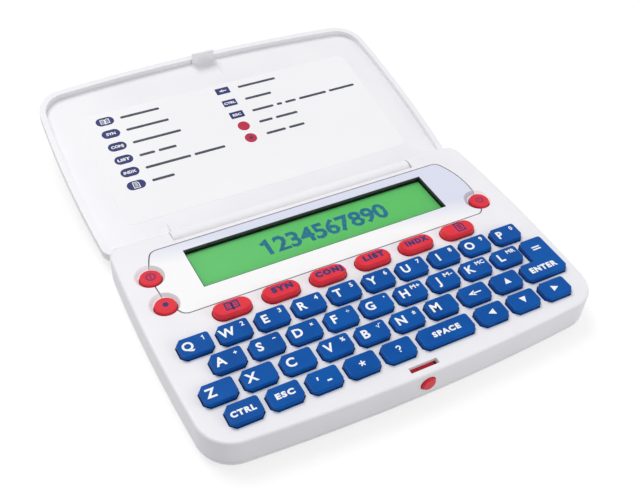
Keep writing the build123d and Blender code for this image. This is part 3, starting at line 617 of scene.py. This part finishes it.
def enterCorners(width, depth):
    # An L: the foot with its cut far left corner, the neck with its own, and a tight inside corner.
    look = keyCap
    left, right = -width / 2, width / 2
    near, far = look["flange"] - depth / 2, depth / 2 - look["flange"]
    footFar = near + look["depth"]
    neck = right - look["enterNeck"]
    cutX, cutY = look["frontCut"]
    backX, backY = look["backCut"]
    corners = [
        (left, near), (right - cutX, near), (right, near + cutY), (right, far), (neck + backX, far),
        (neck, far - backY), (neck, footFar), (left + backX, footFar), (left, footFar - backY),
    ]
    soften = look["soften"]
    radii = [look["frontRound"], soften, soften, look["backRound"], soften, soften, look["inside"],
             soften, soften]
    return corners, radii, ((neck + right) / 2, (near + footFar) / 2)


enterLow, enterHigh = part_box("key_enter")
enterSize = (enterHigh - enterLow) / millimetre
points, faces = capSurface(*enterCorners(enterSize.x, enterSize.y))
makeCap("key_enter", points, faces)
print("key caps")


# Legends of the blue keys. Places count from the middle of a key's top.

keyPrint = {
    "letterHeight": 3.15, "letterAt": (-2.2, 0.1),
    "digitHeight": 1.65, "digitAt": (3.0, 1.45),
    "signHeight": 1.45, "signAt": (2.8, 1.35),
    "pairHeight": 1.5, "pairWidth": 3.2, "pairAt": (2.3, 1.45),
    "wordHeight": 1.95, "wordWeight": 0.055, "wordSpacing": 1.24, "smallWeight": 0.03,
    "dotSize": 0.26, "dotAt": (3.4, 1.7), "minusLength": 1.0, "minusLine": 0.34,
    "starSize": 1.0, "starLine": 0.42, "questionHeight": 2.4,
    "arrow": 2.3, "arrowShaft": 0.45, "underline": 0.55, "ink": 0.02,
}


def numeral(text, height):
    # The font's 1 is a bare stroke, so a 1 is drawn here with its flag.
    if text != "1":
        return lettering(text, height, weight=0.028)
    stroke = 0.19 * height
    path = [(-0.28 * height, 0.24 * height), (0, 0.5 * height - stroke / 2), (0, -0.5 * height)]
    return band(path, stroke)


def rootSign(height):
    # A short rise, the fall to the root's foot, the climb, and the bar.
    path = [(-0.62, -0.02), (-0.42, 0.1), (-0.16, -0.46), (0.14, 0.44), (0.62, 0.44)]
    return band(np.array(path) * height, 0.14 * height)


def divideSign(height):
    # A bar between two dots.
    line = 0.15 * height
    dot = plate(circlePath(0.1 * height, steps=12))
    dots = [moved(dot, 0, side * 0.3 * height) for side in (-1, 1)]
    return together([band([(-0.38 * height, 0), (0.38 * height, 0)], line), *dots])


def triangleSign(size, turn):
    # An arrow key's plain triangle; turn is anticlockwise from pointing right.
    angle = math.radians(turn)
    corners = np.array([(0.5, 0), (-0.5, 0.5), (-0.5, -0.5)]) * size
    rotation = np.array([[math.cos(angle), math.sin(angle)], [-math.sin(angle), math.cos(angle)]])
    return plate(corners @ rotation)


def backArrow(size, shaft):
    # The backspace arrow: a swept head and a long thin shaft.
    head = plate(np.array([(-1.0, 0), (0.12, 0.47), (-0.18, 0), (0.12, -0.47)]) * size)
    return together([head, band([(-0.3 * size, 0), (size, 0)], shaft)])


def starSign(radius, width, arms):
    # An asterisk: each arm is a notch between two arms and the two corners of its end.
    turn = np.radians(90 + np.arange(arms)[:, None] * 360 / arms + [-180 / arms, 0, 0])
    reach = np.array([width / 2 / math.sin(math.pi / arms), radius, radius])
    side = np.array([0, -width / 2, width / 2])
    x = reach * np.cos(turn) - side * np.sin(turn)
    y = reach * np.sin(turn) + side * np.cos(turn)
    return plate(np.stack([x, y], axis=2).reshape(-1, 2))


def questionSign(height):
    # A hook of most of a circle, a short stem and a square dot.
    turn = np.radians(np.linspace(170, -55, 14))
    hook = 0.24 * height * np.column_stack([np.cos(turn), np.sin(turn)]) + [0, 0.2 * height]
    path = np.vstack([hook, [(0, -0.1 * height), (0, -0.2 * height)]])
    dot = band([(0, -0.32 * height), (0, -0.5 * height)], 0.19 * height)
    return together([band(path, 0.17 * height), dot])


def cornerSign(text):
    # What stands at a letter key's upper right: a digit, a sign or a pair of letters.
    look = keyPrint
    if text.isdigit():
        return moved(numeral(text, look["digitHeight"]), *look["digitAt"])
    if text == "root":
        return moved(rootSign(look["signHeight"]), *look["signAt"])
    if text == "÷":
        return moved(divideSign(look["signHeight"]), *look["signAt"])
    if text == "·":
        return moved(plate(circlePath(look["dotSize"], steps=12)), *look["dotAt"])
    if text == "-":
        reach = look["minusLength"] / 2
        return moved(band([(-reach, 0), (reach, 0)], look["minusLine"]), *look["signAt"])
    if len(text) == 2:
        pair = lettering(text, look["pairHeight"], look["pairWidth"], look["smallWeight"], spacing=1.1)
        return moved(pair, *look["pairAt"])
    return moved(lettering(text, look["signHeight"], weight=0.04), *look["signAt"])


def keyWord(text, width):
    # A word that fills a given width.
    look = keyPrint
    return lettering(text, look["wordHeight"], width, look["wordWeight"], look["wordSpacing"])


letterRows = [
    ("qwertyuiop", "1234567890"),
    ("asdfghjkl", ["+", "-", "×", "÷", "·", "M+", "M-", "MC", "MR"]),
    ("zxcvbnm", [None, None, None, "%", "root", "±", None]),
]
wordKeys = {
    "key_control": [("CTRL", 7.3, (-0.4, -0.15))],
    "key_escape": [("ESC", 5.7, (0, 0))],
    "key_space": [("SPACE", 9.4, (0, 0))],
}
legends = {}
for letters, corners in letterRows:
    for letter, corner in zip(letters, corners):
        sign = [moved(lettering(letter.upper(), keyPrint["letterHeight"]), *keyPrint["letterAt"])]
        if corner:
            sign.append(cornerSign(corner))
        legends["key_" + letter] = together(sign)
for node, words in wordKeys.items():
    legends[node] = together([moved(keyWord(text, width), *at) for text, width, at in words])
wedge = plate(np.array([(-2.1, 0.0), (-1.75, 0.0), (-1.45, 1.15), (-2.05, 1.15)]))
underline = band([(0.4, -1.05), (1.8, -1.05)], keyPrint["underline"])
legends["key_apostrophe"] = together([wedge, underline])
legends["key_star"] = starSign(keyPrint["starSize"], keyPrint["starLine"], arms=5)
legends["key_question"] = questionSign(keyPrint["questionHeight"])
for node, turn in (("key_right", 0), ("key_up", 90), ("key_left", 180), ("key_down", 270)):
    legends[node] = triangleSign(keyPrint["arrow"], turn)
legends["key_backspace"] = backArrow(keyPrint["arrow"], keyPrint["arrowShaft"])

enterPrint = {
    "word": "ENTER", "width": 10.1, "height": 2.2, "spacing": 1.22, "footAt": -4.36,
    "equalsAt": (3.2, 3.45), "barLength": 3.0, "barGap": 0.95, "barLine": 0.5,
}
barReach = enterPrint["barLength"] / 2
equals = [
    band([(-barReach, side), (barReach, side)], enterPrint["barLine"])
    for side in (enterPrint["barGap"] / 2, -enterPrint["barGap"] / 2)
]
enterWord = lettering(enterPrint["word"], enterPrint["height"], enterPrint["width"],
                      keyPrint["wordWeight"], enterPrint["spacing"])
legends["key_enter"] = together([
    moved(enterWord, 0, enterPrint["footAt"]),
    moved(together(equals), *enterPrint["equalsAt"]),
])
film = (0.0, keyCap["rise"] + keyPrint["ink"])
for node, legend in legends.items():
    printOn(node + "_legend", node, legend, onTopOf(node), whiteInk, film)
print("key legends:", len(legends))


# Legends of the red pill keys and round buttons.

pillPrint = {
    "wordHeight": 2.3, "wordAt": (0.4, 0.4), "wordWeight": 0.08, "wordSpacing": 1.3,
    "line": 0.5, "bookSize": 2.0, "bookAt": (0, 0.3), "menuSize": 1.75, "menuAt": (0.9, 0.2),
    "buttonLine": 0.36, "helpSize": 1.35, "helpAt": (0.1, 0.2), "shiftDot": 0.9, "shiftAt": (0.1, 0.3),
    "powerSize": 1.15, "powerAt": (0.1, 0.1),
}


def bookSign(size, line):
    # An open book: two pages whose edges climb from the spine and swell by a half sine on the way, and
    # two lines of text on each.
    sweep = np.linspace(0, 1, 7)
    rise = 0.5 + 0.12 * sweep + 0.1 * np.sin(math.pi * sweep)
    page = np.column_stack([0.1 + 0.9 * sweep, rise])
    shapes = []
    for side in (-1, 1):
        top = page * [side, 1]
        outline = np.vstack([top, (top - [0, 1.25])[::-1]])[::-side]
        shapes.append(band(outline * size, line, closed=True))
        for row in (0.25, -0.15):
            shapes.append(band(np.array([(side * 0.35, row), (side * 0.8, row)]) * size, line * 0.7))
    return together(shapes)


def menuSign(size, line):
    # A page with its corner turned and three lines of text.
    outline = np.array([(-0.8, -1), (0.8, -1), (0.8, 0.55), (0.35, 1), (-0.8, 1)]) * size
    shapes = [band(outline, line, closed=True)]
    for row in (0.45, 0.0, -0.45):
        shapes.append(band(np.array([(-0.42, row), (0.42, row)]) * size, line))
    return together(shapes)


def powerSign(size, line):
    # A ring open at the top, and a bar through the opening.
    ring = band(circlePath(size, start=125, end=415, steps=28), line)
    return together([ring, band([(0, 0.15 * size), (0, 1.2 * size)], line)])


def helpSign(size, line):
    # A ring round a question mark.
    ring = band(circlePath(size, steps=28), line, closed=True)
    return together([ring, lettering("?", 1.25 * size, weight=0.02)])


pillWords = {
    "key_synonyms": ("SYN", 7.0), "key_conjugate": ("CONJ", 9.3),
    "key_list": ("LIST", 7.5), "key_index": ("INDX", 8.2),
}
redSigns = {}
for node, (text, width) in pillWords.items():
    word = lettering(text, pillPrint["wordHeight"], width,
                     pillPrint["wordWeight"], pillPrint["wordSpacing"])
    redSigns[node] = moved(word, *pillPrint["wordAt"])
book = bookSign(pillPrint["bookSize"], pillPrint["line"])
redSigns["key_book"] = moved(book, *pillPrint["bookAt"])
menu = menuSign(pillPrint["menuSize"], pillPrint["line"])
redSigns["key_menu"] = moved(menu, *pillPrint["menuAt"])
helpMark = helpSign(pillPrint["helpSize"], pillPrint["buttonLine"])
redSigns["button_help"] = moved(helpMark, *pillPrint["helpAt"])
redSigns["button_shift"] = moved(plate(circlePath(pillPrint["shiftDot"])), *pillPrint["shiftAt"])
power = powerSign(pillPrint["powerSize"], pillPrint["buttonLine"])
redSigns["button_power"] = moved(power, *pillPrint["powerAt"])
for node, sign in redSigns.items():
    printOn(node + "_legend", node, sign, onTopOf(node), navyInk)
print("pill and button legends:", len(redSigns))


# Display: black mask on the glass, a dark strip of painted shade lining the window's walls, and a row of
# dark digits.

display = {
    "maskBorder": 0.55,       # mask inside the window's edge
    "maskGap": 0.1,           # mask short of the panel's edge
    "lensBorder": 1.4,        # lens outside the window on each side
    "maskFilm": (-0.01, 0.015),
    "text": "1234567890", "digitHeight": 7.0, "digitWidth": 46.0, "digitsAt": (2.6, 0.4),
    "dotPitch": 0.3, "dotSize": 0.285, "dotFilm": (-0.01, 0.012),
    "shadeStripWall": 0.22, "shadeStripGap": 0.01, "shadeStripFoot": 0.005, "shadeStripBelow": 0.02,
}
windowLow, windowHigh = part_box("display_window")
windowWidth = (windowHigh.x - windowLow.x) / millimetre - 2 * display["lensBorder"]
windowDepth = (windowHigh.y - windowLow.y) / millimetre - 2 * display["lensBorder"]
panelLow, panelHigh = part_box("lcd_panel")
maskWidth = (panelHigh.x - panelLow.x) / millimetre - 2 * display["maskGap"]
maskDepth = (panelHigh.y - panelLow.y) / millimetre - 2 * display["maskGap"]


def borderBand(innerWidth, innerDepth, outerWidth, outerDepth):
    # A flat frame between two rectangles with the same middle.
    corner = np.array([[1, 1], [-1, 1], [-1, -1], [1, -1]]) / 2
    inner = corner * [innerWidth, innerDepth]
    outer = corner * [outerWidth, outerDepth]
    here = np.arange(4)
    there = (here + 1) % 4
    first = np.column_stack([here, here + 4, there + 4])
    second = np.column_stack([here, there + 4, there])
    return np.vstack([inner, outer]), np.vstack([first, second])


def dotsOf(shape, pitch, size):
    # The shape as a display draws it: a square dot wherever a pixel's middle lies in one of its
    # triangles, to the left of all three sides.
    points, triangles = shape
    low, high = points.min(axis=0), points.max(axis=0)
    across, along = (np.arange(low[i] + pitch / 2, high[i], pitch) for i in (0, 1))
    middles = np.stack(np.meshgrid(across, along), axis=2).reshape(-1, 1, 2)
    corners = points[triangles]
    sides = np.roll(corners, -1, axis=1) - corners
    offsets = middles[:, None] - corners
    left = sides[..., 0] * offsets[..., 1] - sides[..., 1] * offsets[..., 0] >= 0
    lit = middles[left.all(axis=2).any(axis=1), 0]
    square = np.array([[1, 1], [-1, 1], [-1, -1], [1, -1]]) * size / 2
    dots = (lit[:, None] + square).reshape(-1, 2)
    start = np.arange(len(lit))[:, None] * 4
    return dots, np.vstack([start + [0, 1, 2], start + [0, 2, 3]])


printOn(
    "lcd_mask", "base",
    borderBand(windowWidth - 2 * display["maskBorder"], windowDepth - 2 * display["maskBorder"],
               maskWidth, maskDepth),
    onTopOf("lcd_panel"), maskInk, display["maskFilm"],
)
digitPitch = display["digitWidth"] / len(display["text"])
middlePlace = (len(display["text"]) - 1) / 2
digits = together([
    moved(numeral(character, display["digitHeight"]), (place - middlePlace) * digitPitch)
    for place, character in enumerate(display["text"])
])
printOn(
    "lcd_digits", "base",
    moved(dotsOf(digits, display["dotPitch"], display["dotSize"]), *display["digitsAt"]),
    onTopOf("lcd_panel"), crystalInk, display["dotFilm"],
)
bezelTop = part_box("display_bezel")[1].z / millimetre
windowTop = windowHigh.z / millimetre
wall = display["shadeStripWall"]
gap = display["shadeStripGap"]
shadeStripTop = bezelTop - windowTop - display["shadeStripBelow"]
# Painted shade: a dark strip up the window's walls, stopping just below the bezel's top.
printOn(
    "window_painted_shade", "base",
    borderBand(windowWidth - 2 * wall, windowDepth - 2 * wall, windowWidth - gap, windowDepth - gap),
    onTopOf("display_window"), paintedShadeStrip, film=(display["shadeStripFoot"], shadeStripTop),
)
print("display: mask, digits and gasket")


# Lid label: a vinyl sheet with a list of symbols, and bars in place of its lines of text. Each row has
# its symbol, its distance from the hinge, and the ends of the bars beside it.

label = {
    "trayLevel": -5.1,        # the tray's floor, below the hinge's axis
    "width": 108.0, "near": 14.2, "far": 66.0, "corner": 3.0, "thickness": 0.06,
    "pillX": -45.0, "pillSize": (6.6, 3.9), "pillWord": 1.25,
    "pillRows": (
        ("book", 61.7, [(-39.3, -24.6)]),
        ("SYN", 55.3, [(-39.3, -23.4)]),
        ("CONJ", 48.8, [(-39.3, -21.3)]),
        ("LIST", 42.3, [(-39.3, -33.6), (-32.2, -25.6)]),
        ("INDX", 36.2, [(-39.3, -22.6), (-21.2, -9.5)]),
        ("menu", 30.0, [(-39.3, -31.2)]),
    ),
    "plateX": 0.9, "plateSize": (5.4, 3.3), "plateCorner": 0.3, "plateWord": 1.15,
    "plateRows": (
        ("back", 62.4, [(7.2, 22.7)]),
        ("CTRL", 55.7, [(7.2, 17.9)]),
        ("ESC", 49.2, [(7.2, 15.8), (17.3, 19.4), (20.8, 25.2), (26.7, 38.2), (39.6, 50.5)]),
    ),
    "dotRadius": 2.25, "shiftRadius": 0.7,
    "dotRows": (
        ("help", 43.1, [(7.2, 12.6), (14.0, 22.9)]),
        ("shift", 36.8, [(7.2, 15.0), (16.4, 22.7)]),
    ),
    "bookSign": (1.55, 0.3), "menuSign": (1.25, 0.28), "backSign": (1.5, 0.4),     # size and line
    "letterWidth": 1.12, "letterWeight": 0.04,
    "barWidth": 1.1, "barCorner": 0.44,
    "markLevel": 0.02, "markFilm": (-0.005, 0.01),     # marks stand on the ink of their backs
}
sheetDepth = label["far"] - label["near"]
sheetOutline = roundedPath(label["width"], sheetDepth, label["corner"])
sheetShape = moved(plate(sheetOutline), 0, label["near"] + sheetDepth / 2)
printOn("lid_label", "lid", sheetShape, onLid(label["trayLevel"]), labelVinyl,
        film=(-0.01, label["thickness"]))


def smallSign(text, height):
    # The same symbols as the keys carry, small.
    if text == "book":
        return bookSign(*label["bookSign"])
    if text == "menu":
        return menuSign(*label["menuSign"])
    if text == "back":
        return backArrow(*label["backSign"])
    return lettering(text, height, label["letterWidth"] * len(text), label["letterWeight"])


def symbolBacks(outline, x, rows):
    # The dark shapes behind one column of symbols.
    return [moved(plate(outline), x, row) for _, row, _ in rows]


def symbolMarks(height, x, rows):
    # The white symbols on them.
    return [moved(smallSign(symbol, height), x, row) for symbol, row, _ in rows]


pillOutline = roundedPath(*label["pillSize"], label["pillSize"][1] / 2)
plateOutline = roundedPath(*label["plateSize"], label["plateCorner"])
dotOutline = circlePath(label["dotRadius"])
backs = [
    *symbolBacks(pillOutline, label["pillX"], label["pillRows"]),
    *symbolBacks(plateOutline, label["plateX"], label["plateRows"]),
]
marks = [
    *symbolMarks(label["pillWord"], label["pillX"], label["pillRows"]),
    *symbolMarks(label["plateWord"], label["plateX"], label["plateRows"]),
]
dots = symbolBacks(dotOutline, label["plateX"], label["dotRows"])
bars = []
for _, row, words in (*label["pillRows"], *label["plateRows"], *label["dotRows"]):
    for start, end in words:
        outline = roundedPath(end - start, label["barWidth"], label["barCorner"])
        bars.append(moved(plate(outline), (start + end) / 2, row))
shiftRow = label["dotRows"][1][1]
shiftDot = moved(plate(circlePath(label["shiftRadius"])), label["plateX"], shiftRow)

sheetTop = label["trayLevel"] + label["thickness"]
onSheet = onLid(sheetTop)
onBacks = onLid(sheetTop + label["markLevel"])
printOn("lid_label_symbols", "lid", together(backs), onSheet, labelNavy)
printOn("lid_label_marks", "lid", together(marks), onBacks, whiteInk, label["markFilm"])
printOn("lid_label_dots", "lid", together(dots), onSheet, labelRed)
printOn("lid_label_lines", "lid", together(bars), onSheet, labelGrey)
printOn("lid_label_shift", "lid", shiftDot, onBacks, labelNavy, label["markFilm"])
print("lid label:", len(bars), "bars for words")


# Stage, light and camera.

stage = {
    "floorWidth": 6.0, "floorLevel": -1e-4,       # metres; the object stands just clear of it
    "floorColour": "#A6A6A6", "glow": 0.68,       # what the camera and reflections see
    "floorBounce": "#D2D2D4",                     # what lights the object from below
    "skyLight": 0.5,
    "lampPlace": (-0.3, 0.85, 1.66), "lampWidth": 1.1, "lampPower": 16.8,
    "fillPlace": (0.42, -0.44, 0.26), "fillWidth": 0.3, "fillPower": 0.75,
}
white = (1, 1, 1, 1)


def seenRays(tree):
    # The greatest of three flags: one for a ray from the camera, from a reflection or through glass,
    # nought for a ray that only gathers light.
    rays = addNode(tree, "LightPath").outputs
    seen = rays["Is Camera Ray"]
    for kind in ("Glossy", "Transmission"):
        flag = rays["Is " + kind + " Ray"]
        seen = addNode(tree, "Math", {0: seen, 1: flag}, operation="MAXIMUM").outputs[0]
    return seen


def paleFloor():
    # Matt white paper: a grey with a glow, white to the eye and still dark enough for a soft shadow.
    # The light that it throws back up has no glow in it, so the object's lower sides stay in shade.
    material, tree = startMaterial("pale_paper")
    paper = addNode(tree, "BsdfDiffuse", {"Color": toLinear(stage["floorColour"])})
    glow = addNode(tree, "Emission", {"Color": white, "Strength": stage["glow"]})
    bright = addNode(tree, "AddShader", {0: paper.outputs["BSDF"], 1: glow.outputs["Emission"]})
    bounce = addNode(tree, "BsdfDiffuse", {"Color": toLinear(stage["floorBounce"])})
    shader = addNode(tree, "MixShader", {
        0: seenRays(tree), 1: bounce.outputs["BSDF"], 2: bright.outputs["Shader"],
    })
    return finishMaterial(material, tree, shader.outputs["Shader"])


floorMesh = bpy.data.meshes.new("floor")
floorCorners = np.array([[-1, -1, 0], [1, -1, 0], [1, 1, 0], [-1, 1, 0]]) * stage["floorWidth"] / 2
floorCorners[:, 2] = stage["floorLevel"]
floorMesh.from_pydata(floorCorners.tolist(), [], [(0, 1, 2, 3)])
floorMesh.materials.append(paleFloor())
floor = bpy.data.objects.new("floor", floorMesh)
bpy.context.scene.collection.objects.link(floor)

world = bpy.data.worlds.new("studio")
bpy.context.scene.world = world
world.use_nodes = True
sky = world.node_tree
sky.nodes.clear()
soft = addNode(sky, "Background", {"Color": white, "Strength": stage["skyLight"]})
backdrop = addNode(sky, "Background", {"Color": white, "Strength": 1.0})
mixed = addNode(sky, "MixShader", {0: seenRays(sky), 1: soft.outputs[0], 2: backdrop.outputs[0]})
addNode(sky, "OutputWorld", {"Surface": mixed.outputs["Shader"]})


def aimedAt(place, target):
    # Turned so that its own -Z axis points at the target.
    return (Vector(target) - Vector(place)).to_track_quat("-Z", "Y").to_matrix().to_4x4()


# A large softbox behind and above, and a small weak one near the front right corner, which lifts the
# shaded side without a highlight of its own.
for name in ("lamp", "fill"):
    place = stage[name + "Place"]
    light = bpy.data.lights.new(name, "AREA")
    light.shape = "DISK"
    light.size = stage[name + "Width"]
    light.energy = stage[name + "Power"]
    softbox = bpy.data.objects.new(name, light)
    softbox.matrix_world = Matrix.Translation(place) @ aimedAt(place, (0, 0, 0))
    softbox.visible_camera = False
    softbox.visible_glossy = name == "lamp"
    bpy.context.scene.collection.objects.link(softbox)

view = {
    "place": (-110.85, -160.97, 210.98), "azimuth": 31.27, "elevation": 44.08, "roll": 4.51,
    "lens": 50.88, "sensor": 36.0,
}
cameraData = bpy.data.cameras.new("camera")
cameraData.lens = view["lens"]
cameraData.sensor_width = view["sensor"]
cameraData.clip_start = 0.01
camera = bpy.data.objects.new("camera", cameraData)
camera.matrix_world = (
    Matrix.Translation(Vector(view["place"]) * millimetre)
    @ Matrix.Rotation(math.radians(-view["azimuth"]), 4, "Z")
    @ Matrix.Rotation(math.radians(90 - view["elevation"]), 4, "X")
    @ Matrix.Rotation(math.radians(view["roll"]), 4, "Z")
)
bpy.context.scene.collection.objects.link(camera)
bpy.context.scene.camera = camera
bpy.context.scene.view_settings.view_transform = "Standard"
print("stage, light and camera")

bpy.context.view_layer.update()
